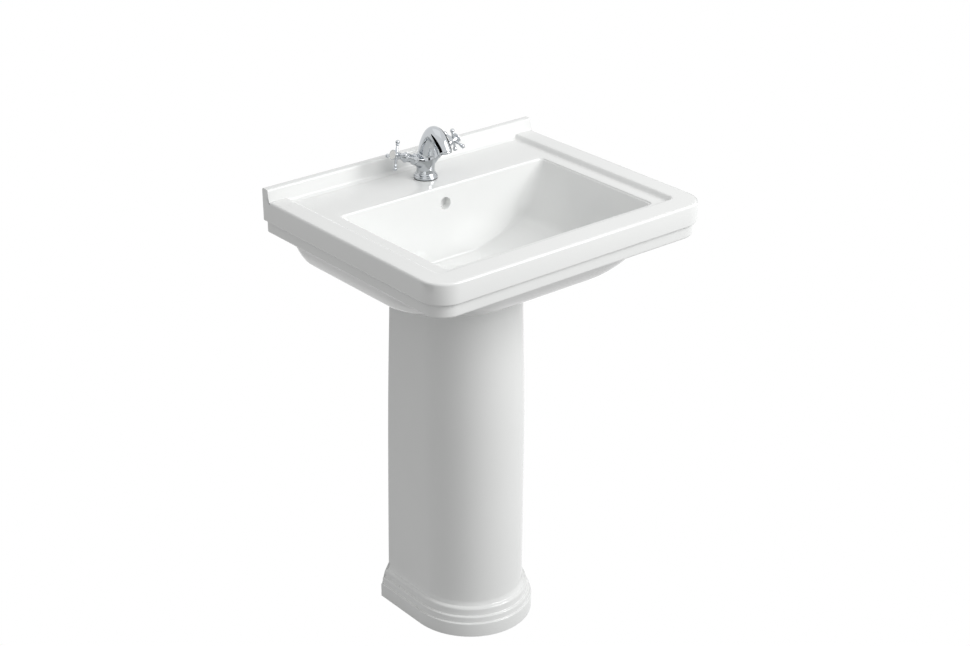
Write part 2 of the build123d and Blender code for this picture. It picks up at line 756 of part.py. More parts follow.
save(turn([(grip, washer_bottom), (washer_radius - 3, washer_bottom), (washer_radius, washer_bottom + 2),
           (washer_radius, boss_bottom), (grip, boss_bottom)], drain).part, "waste_washer")
with BuildPart() as backnut:
    with BuildSketch(Plane.XY.offset(washer_bottom - backnut_height)):
        with Locations((0, drain_y)):
            RegularPolygon(backnut_radius, 8)
            Circle(grip, mode=Mode.SUBTRACT)
    extrude(amount=backnut_height)
save(backnut.part, "waste_backnut")
nose_bottom = bridge_top - cartridge_nose_length
cartridge_top = bridge_top + cartridge_height
guide = plug_stem_radius + running_gap
save(turn([(guide, nose_bottom), (cartridge_nose, nose_bottom), (cartridge_nose, bridge_top),
           (cartridge_radius, bridge_top), (cartridge_radius, cartridge_top), (guide, cartridge_top)],
          drain).part, "plug_cartridge")
stem_bottom = plug_level - plug_stem_length
plug_top = plug_level + plug_thickness
save(turn([(0, stem_bottom), (plug_stem_radius, stem_bottom), (plug_stem_radius, plug_level),
           (plug_radius, plug_level), (plug_radius, plug_level + 1), (plug_radius * 0.8, plug_top - 0.6),
           (plug_radius * 0.4, plug_top), (0, plug_top)], drain).part, "plug")
save(ring(plug_stem_radius + fit_gap, throat_radius - clear_gap, plug_level - plug_seal_thickness, plug_level,
          drain).part, "plug_seal")

# Trap: nut and seal on the tail, dip tube, bottle head with its side outlet, cup, and the pipe to the wall
tube_out = tube_radius + fit_gap
lip_top = tube_top - tube_flange
save(turn([(tube_out, lip_top - nut_lip), (inlet_nut_radius, lip_top - nut_lip),
           (inlet_nut_radius, tail_bottom + inlet_nut_grip), (grip, tail_bottom + inlet_nut_grip),
           (grip, lip_top), (tube_out, lip_top)], drain).part, "trap_inlet_nut")
save(ring(tube_radius, tube_flange_radius, tube_top, tail_bottom, drain).part, "trap_inlet_seal")
save(turn([(tube_radius - tube_wall, tube_top - dip_length), (tube_radius, tube_top - dip_length),
           (tube_radius, lip_top), (tube_flange_radius, lip_top), (tube_flange_radius, tube_top),
           (tube_radius - tube_wall, tube_top)], drain).part, "trap_dip_tube")
neck_grip = neck_outside + fit_gap
neck_nut_top = neck_top + nut_lip
neck_nut_bottom = neck_nut_top - neck_nut_height
save(turn([(tube_out, neck_top - 1), (neck_grip, neck_top - 1), (neck_grip, neck_nut_bottom),
           (neck_nut_radius, neck_nut_bottom), (neck_nut_radius, neck_nut_top),
           (tube_out, neck_nut_top)], drain).part, "trap_neck_nut")
outlet_place = (0, drain_y, outlet_level)
to_wall = dict(direction=(0, 1, 0), radial=(1, 0, 0))
inner = trap_radius - trap_wall
socket_end = trap_radius + outlet_socket
with BuildPart() as head:
    add(turn([(0, head_bottom), (trap_radius, head_bottom), (trap_radius, head_top - 8),
              (trap_radius - 5, head_top), (neck_outside, head_top), (neck_outside, neck_top - 1),
              (0, neck_top - 1)], drain).part)
    add(ring(0, outlet_socket_radius, inner - 4, socket_end, outlet_place, **to_wall).part)
    add(ring(0, inner, head_bottom - 1, head_top - 10, drain).part, mode=Mode.SUBTRACT)
    add(ring(0, tube_out, head_top - 11, neck_top, drain).part, mode=Mode.SUBTRACT)
    add(ring(0, tube_out, inner - 8, socket_end + 1, outlet_place, **to_wall).part, mode=Mode.SUBTRACT)
save(head.part, "trap_head")
cup_top = head_bottom + cup_joint
cup_bottom = head_bottom - cup_height
thread = inner - cup_thread_gap
save(turn([(0, cup_bottom), (trap_radius - 9, cup_bottom), (trap_radius, cup_bottom + 9),
           (trap_radius, head_bottom - 2), (thread, head_bottom - 2), (thread, cup_top),
           (thread - trap_wall, cup_top), (thread - trap_wall, cup_bottom + 11),
           (trap_radius - 11, cup_bottom + trap_wall), (0, cup_bottom + trap_wall)], drain).part, "trap_cup")
save(ring(thread + fit_gap, trap_radius - fit_gap, head_bottom - 2, head_bottom, drain).part, "trap_cup_seal")
pipe_start = inner - 6
pipe_bore = tube_radius - tube_wall
spigot_radius = tube_radius - outlet_spigot_step
spigot_start = drain_from_wall - outlet_spigot
save(turn([(pipe_bore, pipe_start), (tube_radius, pipe_start), (tube_radius, spigot_start),
           (spigot_radius, spigot_start), (spigot_radius, drain_from_wall), (pipe_bore, drain_from_wall)],
          outlet_place, **to_wall).part, "trap_outlet_pipe")
save(ring(tube_out, outlet_socket_radius - fit_gap, socket_end, socket_end + trap_seal, outlet_place,
          **to_wall).part, "trap_outlet_seal")
seal_end = socket_end + trap_seal
nut_end = seal_end + nut_lip
socket_grip = outlet_socket_radius + fit_gap
save(turn([(socket_grip, nut_end - outlet_nut_length), (outlet_nut_radius, nut_end - outlet_nut_length),
           (outlet_nut_radius, nut_end), (tube_out, nut_end), (tube_out, seal_end),
           (socket_grip, seal_end)], outlet_place, **to_wall).part, "trap_outlet_nut")
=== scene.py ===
import json
import math

import bmesh
import bpy
import numpy as np
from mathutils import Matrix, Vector


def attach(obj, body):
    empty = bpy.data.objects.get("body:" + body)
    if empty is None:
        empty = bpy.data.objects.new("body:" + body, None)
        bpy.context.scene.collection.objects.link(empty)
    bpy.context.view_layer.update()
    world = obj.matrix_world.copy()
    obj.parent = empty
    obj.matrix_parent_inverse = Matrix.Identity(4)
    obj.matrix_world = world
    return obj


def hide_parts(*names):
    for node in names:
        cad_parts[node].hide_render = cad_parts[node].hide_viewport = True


# The looks of the pedestal basin. Shapes are worked out in millimetres and made in metres, in the frame's axes:
# X to the right, Y to the wall, Z up. A distance "from the wall" runs forwards from the plane y = WALL.
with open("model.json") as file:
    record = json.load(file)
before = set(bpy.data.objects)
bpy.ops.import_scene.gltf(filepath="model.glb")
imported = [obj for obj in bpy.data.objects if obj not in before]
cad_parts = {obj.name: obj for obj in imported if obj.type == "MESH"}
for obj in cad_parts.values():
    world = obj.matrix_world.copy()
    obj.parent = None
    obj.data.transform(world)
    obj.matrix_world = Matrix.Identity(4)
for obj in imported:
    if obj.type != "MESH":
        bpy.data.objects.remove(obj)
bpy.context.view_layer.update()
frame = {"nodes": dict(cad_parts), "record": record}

MM = 0.001
WALL = 247.5
RIM, DECK, STEP, BAND, HULL, BOSS = 853.5, 845.2, 814.0, 789.0, 684.0, 668.0
HALF_WIDTH, DEPTH, BAND_INSET = 300, 495, 7.5
BOWL_DEPTH = 145.0
# The bowl's top edge: half its width, its front and its rear side from the wall, and the radius of the edge itself.
BOWL_HALF, BOWL_FRONT, BOWL_REAR, BOWL_EDGE = 229, 429, 132, 3.0
# The pedestal in plan at the floor: half its width, the reach of its round front and where that starts.
SHAFT_HALF, SHAFT_AHEAD, SHAFT_CENTRE, SHAFT_WALL = 101, 104.8, 196.0, 12.0
DRAIN = np.array([0.0, 2.5])
TAP_FOOT = np.array([0.0, WALL - 76.6, 846.7])
ARM_ROOT = np.array([0.0, WALL - 76.6, 875.7])
ARM_TILT = math.radians(22)


# Shapes as arrays of points.
def unit(vector):
    """The vector at length one."""
    vector = np.asarray(vector, float)
    return vector / np.linalg.norm(vector)


def soft_line(points, steps=5):
    """A polyline whose corners are rounded.

    Each point is (a, b) or (a, b, radius). At a corner with a radius, the arc that touches both sides takes the
    corner's place; it is kept inside its two sides. Returns the points in order.
    """
    points = [tuple(p) + (0.0,) * (3 - len(p)) for p in points]
    line = [np.array(points[0][:2])]
    for before, here, after in zip(points, points[1:], points[2:]):
        corner, radius = np.array(here[:2]), here[2]
        back, ahead = np.array(before[:2]) - corner, np.array(after[:2]) - corner
        length = min(np.linalg.norm(back), np.linalg.norm(ahead))
        back, ahead = unit(back), unit(ahead)
        half_angle = math.acos(np.clip(back @ ahead, -1, 1)) / 2
        if radius <= 0 or half_angle > 1.55 or half_angle < 0.02:
            line.append(corner)
            continue
        reach = min(radius / math.tan(half_angle), 0.49 * length)
        radius = reach * math.tan(half_angle)
        centre = corner + unit(back + ahead) * radius / math.sin(half_angle)
        first, last = corner + back * reach - centre, corner + ahead * reach - centre
        turn = math.pi - 2 * half_angle
        for share in np.linspace(0, 1, steps + 1):
            swing = first * math.sin((1 - share) * turn) + last * math.sin(share * turn)
            line.append(centre + swing / math.sin(turn))
    line.append(np.array(points[-1][:2]))
    return np.array(line)


def smooth_rows(table, shares):
    """Values between the rows of a table, on a curve with no kinks.

    Each column is a cubic between neighbouring rows whose slopes at the rows are those of the line between the rows
    before and after.
    """
    table = np.asarray(table, float)
    at, values = table[:, 0], table[:, 1:]
    slopes = np.gradient(values, at, axis=0)
    cell = np.clip(np.searchsorted(at, shares, side="right") - 1, 0, len(at) - 2)
    width = (at[cell + 1] - at[cell])[:, None]
    t = ((shares - at[cell]) / width[:, 0])[:, None]
    return ((1 + 2 * t) * (1 - t) ** 2 * values[cell] + t * (1 - t) ** 2 * width * slopes[cell]
            + t ** 2 * (3 - 2 * t) * values[cell + 1] + t ** 2 * (t - 1) * width * slopes[cell + 1])


def plan_rings(half, near, far, near_radius, far_radius, sides=36, corner=14):
    """Level outlines of the basin, one for each entry of the arrays.

    An outline is a rectangle from x = -half to half and from y = near, in front, to y = far, with its front corners
    rounded by near_radius and its rear ones by far_radius. Points run from the left end of the front side round to
    the right: every side has the same number of points and so has every corner, so outlines match point by point.
    Returns an array of (outline, point, x or y).
    """
    half, near, far, r0, r1 = (np.asarray(v, float)[:, None] for v in (half, near, far, near_radius, far_radius))
    along = np.linspace(0, 1, sides, endpoint=False)[None, :]
    round_part = np.linspace(0, math.pi / 2, corner, endpoint=False)[None, :]
    blocks = []
    corners = [(1, near + r0, r0, -math.pi / 2), (1, far - r1, r1, 0), (-1, far - r1, r1, math.pi / 2),
               (-1, near + r0, r0, math.pi)]
    ends = [((-half + r0, near), (half - r0, near)), ((half, near + r0), (half, far - r1)),
            ((half - r1, far), (-half + r1, far)), ((-half, far - r1), (-half, near + r0))]
    for (start, stop), (side, centre_y, radius, angle) in zip(ends, corners):
        blocks.append(np.stack([start[0] + (stop[0] - start[0]) * along, start[1] + (stop[1] - start[1]) * along], -1))
        turn = round_part + angle
        blocks.append(np.stack([side * (half - radius) + radius * np.cos(turn), centre_y + radius * np.sin(turn)], -1))
    return np.concatenate(blocks, axis=1)


def levelled(outlines, heights):
    """Outlines in plan, each at its own height."""
    heights = np.broadcast_to(np.asarray(heights, float).reshape(len(outlines), -1, 1), outlines.shape[:2] + (1,))
    return np.concatenate([outlines, heights], axis=2)


def lathe(profile, place, along=(0, 0, 1), columns=96):
    """A profile of (radius, distance) points spun about the line through place in the direction along."""
    along = unit(along)
    first = unit(np.cross(along, (0, 1, 0) if abs(along[1]) < 0.9 else (1, 0, 0)))
    second = np.cross(along, first)
    angle = np.linspace(0, 2 * math.pi, columns + 1)
    ring = np.cos(angle)[:, None] * first + np.sin(angle)[:, None] * second
    profile = np.asarray(profile, float)
    return np.asarray(place) + profile[:, :1, None] * ring[None] + profile[:, 1:2, None] * along


def tube(path, radii, columns=64):
    """A round section carried along a path in a plane of constant x, its radius changing along the path."""
    heading = np.gradient(path, axis=0)
    heading /= np.linalg.norm(heading, axis=1)[:, None]
    across = np.array([1.0, 0.0, 0.0])
    normal = np.cross(heading, across)
    angle = np.linspace(0, 2 * math.pi, columns + 1)
    ring = np.cos(angle)[None, :, None] * across + np.sin(angle)[None, :, None] * normal[:, None]
    body = path[:, None] + np.asarray(radii)[:, None, None] * ring
    return np.concatenate([np.broadcast_to(path[:1, None], body[:1].shape), body,
                           np.broadcast_to(path[-1:, None], body[:1].shape)])


def prism(outline, start, stop, steps=2):
    """A closed outline of (y, z) points carried from x = start to x = stop, closed by a fan at each end."""
    outline = np.vstack([outline, outline[:1]])
    middle = outline.mean(axis=0)
    rows = []
    for x, shrink in [(start, 0)] + [(x, 1) for x in np.linspace(start, stop, steps)] + [(stop, 0)]:
        ring = middle + (outline - middle) * shrink
        rows.append(np.column_stack([np.full(len(ring), x), ring]))
    return np.array(rows)


# Meshes and pieces.
def mesh_from(name, grids, close_round=False):
    """A mesh of one or more grids of points in millimetres.

    Neighbouring points of a grid are joined by four-sided faces; close_round joins the last column to the first.
    Points that coincide, at seams and at poles, are merged, and the faces are turned outwards.
    """
    mesh = bpy.data.meshes.new(name)
    points, faces, start = [], [], 0
    for grid in grids:
        if close_round:
            grid = np.concatenate([grid, grid[:, :1]], axis=1)
        rows, columns = grid.shape[:2]
        index = start + np.arange(rows * columns).reshape(rows, columns)
        faces.append(np.stack([index[:-1, :-1], index[:-1, 1:], index[1:, 1:], index[1:, :-1]], -1).reshape(-1, 4))
        points.append(grid.reshape(-1, 3))
        start += rows * columns
    mesh.from_pydata((np.concatenate(points) * MM).tolist(), [], np.concatenate(faces).tolist())
    work = bmesh.new()
    work.from_mesh(mesh)
    bmesh.ops.remove_doubles(work, verts=work.verts, dist=2e-6)
    bmesh.ops.dissolve_degenerate(work, edges=work.edges, dist=1e-7)
    bmesh.ops.recalc_face_normals(work, faces=work.faces)
    work.to_mesh(mesh)
    work.free()
    return mesh


def finished(obj):
    """The object's mesh with its modifiers applied, put back on the object."""
    bpy.context.view_layer.update()
    result = bpy.data.meshes.new_from_object(obj.evaluated_get(bpy.context.evaluated_depsgraph_get()))
    obj.modifiers.clear()
    obj.data = result
    return obj


def new_object(name, mesh):
    """An object at the origin, in the scene, that holds the mesh."""
    obj = bpy.data.objects.new(name, mesh)
    bpy.context.collection.objects.link(obj)
    return obj


def carve(obj, name, grids, close_round=False):
    """Cuts a closed shape out of the object."""
    tool = new_object(name, mesh_from(name, grids, close_round))
    change = obj.modifiers.new(name, "BOOLEAN")
    change.operation, change.solver, change.object = "DIFFERENCE", "EXACT", tool
    finished(obj)
    bpy.data.objects.remove(tool)


def shade(mesh, angle):
    """Smooth shading, with an edge kept crisp where its faces meet at more than the angle in degrees."""
    mesh.polygons.foreach_set("use_smooth", np.ones(len(mesh.polygons), bool))
    mesh.set_sharp_from_angle(angle=math.radians(angle))


def dress(obj, material, body, nodes, angle=32):
    """Finishes a piece: shading, material, the body that it rides on and the CAD nodes that it stands for."""
    shade(obj.data, angle)
    obj.data.materials.clear()
    obj.data.materials.append(material)
    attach(obj, body)
    if nodes:
        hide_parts(*nodes)
    return obj


# Materials.
def colour(code):
    """A colour written as sRGB hex, turned to the linear values that shaders take."""
    srgb = np.array([int(code[i:i + 2], 16) for i in (1, 3, 5)]) / 255
    linear = np.where(srgb <= 0.04045, srgb / 12.92, ((srgb + 0.055) / 1.055) ** 2.4)
    return (*(float(v) for v in linear), 1.0)


def add_node(tree, kind, settings=None, links=None):
    """Adds one node: settings are its sockets' values or its own, links lead from other nodes' outputs."""
    node = tree.nodes.new(kind)
    for name, value in (settings or {}).items():
        if name in node.inputs:
            node.inputs[name].default_value = value
        else:
            setattr(node, name, value)
    for name, source in (links or {}).items():
        tree.links.new(source, node.inputs[name])
    return node


def finish_material(name, surface, light, dark, patch, gloss, grain, relief):
    """A material with an even base, slow changes of tone, and a fine relief.

    light and dark are the tones it drifts between over patches of patch millimetres; gloss is the range of its
    roughness; grain is the wavelength of the relief and relief its depth, both in millimetres. surface holds the
    shader's own constants.
    """
    material = bpy.data.materials.new(name)
    material.use_nodes = True
    tree = material.node_tree
    tree.nodes.clear()
    places = add_node(tree, "ShaderNodeTexCoord").outputs["Object"]
    drift = add_node(tree, "ShaderNodeTexNoise", {"Scale": 1 / (patch * MM), "Detail": 3.0}, {"Vector": places})
    tone = add_node(tree, "ShaderNodeMix", {"data_type": "RGBA"})
    tree.links.new(drift.outputs["Fac"], tone.inputs["Factor"])
    tone.inputs[6].default_value, tone.inputs[7].default_value = colour(light), colour(dark)
    fine = add_node(tree, "ShaderNodeTexNoise", {"Scale": 1 / (grain * MM), "Detail": 2.0}, {"Vector": places})
    rough = add_node(tree, "ShaderNodeMapRange", {"To Min": gloss[0], "To Max": gloss[1]},
                     {"Value": drift.outputs["Fac"]})
    bump = add_node(tree, "ShaderNodeBump", {"Strength": 1.0, "Distance": relief * MM},
                    {"Height": fine.outputs["Fac"]})
    shader = add_node(tree, "ShaderNodeBsdfPrincipled", surface,
                      {"Base Color": tone.outputs[2], "Roughness": rough.outputs["Result"],
                       "Normal": bump.outputs["Normal"]})
    add_node(tree, "ShaderNodeOutputMaterial", links={"Surface": shader.outputs["BSDF"]})
    return material


# Vitreous china under a fired glaze: a white body with a clear, very smooth glass on it that is a little wavy.
china = finish_material("glazed_vitreous_china", {"IOR": 1.52}, "#EFF0EF", "#EAEBEA", 160, (0.09, 0.15), 14, 0.012)
# The pedestal is the same ware, fired apart from the basin.
pedestal_china = finish_material("glazed_pedestal_china", {"IOR": 1.52}, "#EEEFEE", "#E9EAE9", 180, (0.1, 0.17),
                                 15, 0.012)
# Brass polished and plated with bright chromium: a mirror, with faint swirls from the mop.
chrome = finish_material("polished_chrome_plate", {"Metallic": 1.0}, "#C8CBCE", "#BEC2C6", 30, (0.03, 0.07), 3, 0.002)
# Small glazed porcelain buttons in the handles.
porcelain = finish_material("glazed_porcelain", {"IOR": 1.52, "Coat Weight": 0.8, "Coat Roughness": 0.03},
                            "#F4F4F1", "#EEEEEA", 12, (0.12, 0.18), 4, 0.004)
# Brass as it comes off the lathe: warm yellow, with fine turning marks.
brass = finish_material("turned_brass", {"Metallic": 1.0}, "#CDA960", "#B8934C", 12, (0.25, 0.38), 0.8, 0.01)
# Pressed alumina, lapped flat: off-white and silky.
alumina = finish_material("lapped_alumina", {"IOR": 1.76}, "#E6E3D8", "#DCD8CB", 6, (0.2, 0.3), 0.6, 0.004)
# Moulded black rubber: dark grey, dull, with a fine moulded grain.
rubber = finish_material("moulded_rubber", {"IOR": 1.5}, "#232325", "#1B1B1D", 8, (0.6, 0.75), 0.6, 0.03)
# Zinc-plated steel: grey metal with a soft sheen.
steel = finish_material("zinc_plated_steel", {"Metallic": 1.0}, "#B4B7B9", "#A2A6A9", 8, (0.3, 0.45), 0.7, 0.012)
# Moulded acetal: milky white plastic.
acetal = finish_material("moulded_acetal", {"IOR": 1.48}, "#E4E4DF", "#DADAD4", 10, (0.35, 0.45), 1.0, 0.01)
# Moulded polypropylene: plain white plastic, with the slight waviness of the mould.
polypropylene = finish_material("moulded_polypropylene", {"IOR": 1.49}, "#EDEDEA", "#E3E3DF", 40, (0.28, 0.4), 2.5, 0.02)

SLOT_MATERIALS = {"vitreous_china": china, "pedestal_china": pedestal_china, "chrome_plate": chrome,
                  "porcelain": porcelain, "brass": brass, "disc_ceramic": alumina, "rubber": rubber, "steel": steel,
                  "acetal": acetal, "trap_plastic": polypropylene}


# The basin.
def bowl_profile(points, depths):
    """Where a wall of the bowl stands at each depth under the deck, from its rounded profile of (place, depth)."""
    line = soft_line(points, 10)
    return np.interp(depths, line[:, 1], line[:, 0])


knee_arc = [(331 * math.sin(a), BOWL_DEPTH - 331 * (1 - math.cos(a))) for a in np.linspace(0.5, 0, 24)[1:]]
ACROSS = [(BOWL_HALF, 0), (175, 95, 30)] + knee_arc
REAR = [(BOWL_REAR, 0), (141, 138, 5), (245, BOWL_DEPTH)]
FRONT = [(BOWL_FRONT, 0), (395, 123, 72), (245, BOWL_DEPTH)]


def bowl_floor(x, y):
    """Height of the bowl's floor over its lowest point: its profile across and its profile along, joined softly.

    The two heights are added as fourth powers, so the higher one rules and their meeting line is rounded.
    """
    depth_grid = np.linspace(0, BOWL_DEPTH, 600)
    across = BOWL_DEPTH - np.interp(np.abs(x), bowl_profile(ACROSS, depth_grid)[::-1], depth_grid[::-1])
    away = WALL - y
    rear = BOWL_DEPTH - np.interp(away, bowl_profile(REAR, depth_grid), depth_grid)
    front = BOWL_DEPTH - np.interp(away, bowl_profile(FRONT, depth_grid)[::-1], depth_grid[::-1])
    along = np.where(away < WALL - DRAIN[1], rear, front)
    return (across ** 4 + along ** 4) ** 0.25


def basin_grid():
    """The basin's whole skin as rings round its waste hole.

    The rings run out of the hole, over the bowl's floor, up its walls, across the deck and the raised border, down
    the two bands of the apron, in under the bowl and back into the hole from below. Every ring is an outline in
    plan (see plan_rings) at a height; near the hole the outlines turn into circles.
    """
    # Bowl, walls: level outlines from the depth where the floor takes over up to the rounded top edge.
    depths = np.concatenate([np.linspace(138, 96, 50), np.linspace(94, BOWL_EDGE, 30)])
    rear_corner = smooth_rows([(0, 8), (25, 18), (60, 30), (90, 26), (112, 9), (138, 6)], depths)[:, 0]
    front_corner = np.interp(depths, [0, 60, 123, 138], [12, 40, 48, 40])
    walls = plan_rings(bowl_profile(ACROSS, depths), WALL - bowl_profile(FRONT, depths),
                       WALL - bowl_profile(REAR, depths), front_corner, rear_corner)
    wall_rings = levelled(walls, DECK - depths)
    # Bowl, floor: from the lowest outline to the waste's seat, following the floor's height.
    start = walls[0]
    lift = (BOWL_DEPTH - depths[0]) - bowl_floor(start[:, 0], start[:, 1])
    spoke = start - DRAIN
    circle = spoke / np.linalg.norm(spoke, axis=1)[:, None]
    share = (np.linspace(1, 0, 30)[:-1] ** 2)[:, None]
    plan = start[None] * (1 - share[..., None]) + (DRAIN + 34.5 * circle)[None] * share[..., None]
    height = DECK - BOWL_DEPTH + bowl_floor(plan[..., 0], plan[..., 1]) + (1 - share) ** 2 * lift
    floor_rings = levelled(plan, height)
    seat = DECK - BOWL_DEPTH
    hole = np.array([[23, BOSS + 1.5], [23, seat - 5], [24, seat - 3.5], [33, seat - 3.5], [33, seat - 0.6],
                     [33.6, seat + 0.5]])
    hole_rings = levelled(DRAIN + hole[:, :1, None] * circle[None], hole[:, 1])
    # Top edge of the bowl, then the deck out to the foot of the border's slope.
    turn = np.linspace(0, math.pi / 2, 7)[1:]
    out = BOWL_EDGE * (1 - np.cos(turn))
    lip_rings = levelled(plan_rings(BOWL_HALF + out, WALL - BOWL_FRONT - out, WALL - BOWL_REAR + out, 12 + out,
                                    9 + out), DECK - BOWL_EDGE + BOWL_EDGE * np.sin(turn))
    part = np.linspace(0, 1, 8)[1:]
    deck_rings = levelled(plan_rings(232 + 20 * part, WALL - 432 - 7 * part, WALL - 129 + 114 * part, 15 - 9 * part,
                                     12 - 8 * part), np.full(7, DECK))
    # The border: an easy slope up out of the recess, a flat top and a rounded edge.
    part = np.linspace(0, 1, 13)[1:]
    slope_rings = levelled(plan_rings(252 + 13 * part, WALL - 439 - 13 * part, WALL - 15 + 5 * part, 6 + 9 * part,
                                      4 - 2 * part), DECK + (RIM - DECK) * (part - np.sin(2 * math.pi * part) / 6.6))
    part = np.linspace(0, 1, 7)[1:]
    top_rings = levelled(plan_rings(265 + 26 * part, WALL - 452 - 34 * part, WALL - 10 + 10 * part, 15 + 22 * part,
                                    2 - 0.5 * part), np.full(6, RIM))
    # Apron: outline inset from the widest, with the height, for the two bands and the step between them.
    apron = soft_line([(9, RIM), (0, RIM, 9), (0, STEP, 4), (BAND_INSET, STEP, 2), (BAND_INSET, BAND, 5),
                       (18, BAND)], 7)[1:]
    inset, level = apron[:, 0], apron[:, 1]
    apron_rings = levelled(plan_rings(HALF_WIDTH - inset, WALL - DEPTH + inset, np.full(len(inset), WALL),
                                      46 - inset, np.full(len(inset), 1.5)), level)
    # Underside: a soft inner corner, then the belly down to the flat that meets the pedestal.
    belly_table = [(0.00, 22, 29, 142, 58), (0.20, 29, 41, 141, 58), (0.40, 40, 57, 140, 58), (0.56, 54, 76, 138, 58),
                   (0.72, 85, 106, 136, 58), (0.87, 126, 141, 123, 58), (1.00, 180, 182, 91, 58)]
    shares = np.concatenate([[0.0, 0.008, 0.02], np.linspace(0.04, 1, 46)])
    side, ahead, near_corner, far_corner = smooth_rows(belly_table, shares).T
    cove = 3.0 * np.array([1, 0.35, 0.08] + [0.0] * 46)
    belly_rings = levelled(plan_rings(HALF_WIDTH - BAND_INSET - side + cove, WALL - DEPTH + BAND_INSET + ahead - cove,
                                      np.full(len(side), WALL), near_corner, far_corner),
                           BAND - shares * (BAND - HULL))
    # Flat bottom in to the boss round the waste hole.
    last = belly_rings[-1, :, :2]
    share = np.linspace(0, 1, 12)[1:, None, None]
    plan = last[None] * (1 - share) + (DRAIN + 41 * circle)[None] * share
    flat_rings = levelled(plan, np.full(11, HULL))
    boss = soft_line([(41, HULL), (40, HULL, 0.6), (40, BOSS, 2.5), (23, BOSS, 1.5), (23, BOSS + 1.5)], 4)[1:]
    boss_rings = levelled(DRAIN + boss[:, :1, None] * circle[None], boss[:, 1])
    return np.concatenate([hole_rings, floor_rings, wall_rings, lip_rings, deck_rings, slope_rings, top_rings,
                           apron_rings, belly_rings, flat_rings, boss_rings])


def basin_hollow():
    """The open pocket behind the bowl and under the deck, from the way in between pedestal and wall upwards."""
    table = np.array([[660, 75, 93.7], [696, 75, 93.7], [696.1, 148, 110], [713, 190, 110], [730, 222, 110],
                      [747, 238, 110], [768, 248, 110], [789, 255, 110], [801, 276, 110], [831.2, 276, 110]])
    level, half, near = table.T
    corner = np.where(level < 696.05, 1.0, 34.0)
    rings = plan_rings(half, WALL - near, np.full(len(level), WALL - 14.0), np.full(len(level), 1.0), corner, 8, 6)
    rings = levelled(rings, level)
    middle = rings.mean(axis=1, keepdims=True)
    caps = np.broadcast_to(middle, rings.shape)
    return np.concatenate([caps[:1], rings, caps[-1:]])


basin = new_object("basin_glazed", mesh_from("basin_glazed", [basin_grid()], True))
upstand = soft_line([(WALL - 0.2, 838), (WALL - 0.2, 876, 4), (WALL - 16, 876, 4.5), (WALL - 20.6, 848.6, 5),
                     (WALL - 27, DECK + 0.05), (WALL - 27, DECK - 0.6), (WALL - 17, 838)], 6)
carve(basin, "hollow", [basin_hollow()], close_round=True)
carve(basin, "tap_hole", [lathe([(0, -30), (17.5, -30), (17.5, 6), (0, 6)], (0, TAP_FOOT[1], DECK))])
carve(basin, "overflow", [lathe(soft_line([(0, -8), (12.2, -8), (12, -0.4), (11.1, 1.2, 0.8), (11, 14), (0, 14)], 6),
                                (0, WALL - 134.2, DECK - 32.5), (0, 1, 0))])
for side in (-1, 1):
    carve(basin, "wall_bolt_hole",
          [lathe([(0, -40), (7, -40), (7, 2), (0, 2)], (140 * side, WALL, DECK - 75), (0, 1, 0), 48)])
# The upstand is a closed bar whose foot is buried in the deck.
whole = bmesh.new()
whole.from_mesh(basin.data)
whole.from_mesh(mesh_from("upstand", [prism(upstand, -299.7, 299.7)]))
whole.to_mesh(basin.data)
whole.free()
dress(basin, china, "basin_and_pedestal", ["basin"], 30)


# The pedestal.
def pedestal_grid():
    """The pedestal's shaft and foot as one closed skin.

    Columns follow a U in plan: up the left side, round half an ellipse in front and back along the right side. Rows
    go up the outside, with the foot's plinth and mouldings as added width, over the top edge, down the inside and
    under the foot.
    """
    foot = soft_line([(18.4, 0), (18.4, 28, 3), (14.5, 28, 1), (14.5, 40.6, 5.4), (9.3, 40.6, 1), (9.3, 55.5, 5.6),
                      (2.6, 57.2, 2.5), (0, 64)], 6)
    shaft = np.column_stack([np.zeros(40), np.linspace(68, HULL, 40)])
    outside = np.vstack([foot, shaft])
    rows = [(0.0, 0.0, 72), (0.3, 0.7, 78), (0.64, 1.8, 87), (1.0, -2.8, 94)]

    def shell(levels, added):
        swell, rear = smooth_rows(rows, levels / HULL).T
        rear = np.where(levels < 60, 72.0 + levels * 0.012, rear)
        half, ahead = SHAFT_HALF + swell + added, SHAFT_AHEAD + swell + added
        centre = WALL - SHAFT_CENTRE
        side = np.linspace(0, 1, 20)
        angle = np.linspace(math.pi, 2 * math.pi, 90)[1:-1]
        left_y = (WALL - rear)[:, None] * (1 - side) + centre * side
        left_x = np.broadcast_to(-half[:, None], left_y.shape)
        x = np.concatenate([left_x, half[:, None] * np.cos(angle), -left_x[:, ::-1]], axis=1)
        y = np.concatenate([left_y, centre + ahead[:, None] * np.sin(angle), left_y[:, ::-1]], axis=1)
        return np.stack([x, y, np.broadcast_to(levels[:, None], x.shape)], -1)

    outer = shell(outside[:, 1], outside[:, 0])
    levels = np.linspace(HULL, 0, 40)
    inner = shell(levels, np.full(40, -SHAFT_WALL))
    rows_all = np.concatenate([outer, inner, outer[:1]])
    # Each end of the U is closed by a strip from its outer to its inner edge.
    ends = []
    for column in (0, -1):
        out_edge = np.array([np.interp(levels[::-1], outer[:, column, 2], outer[:, column, k]) for k in range(3)]).T
        ends.append(np.stack([out_edge, inner[::-1, column]], axis=1))
    return rows_all, ends


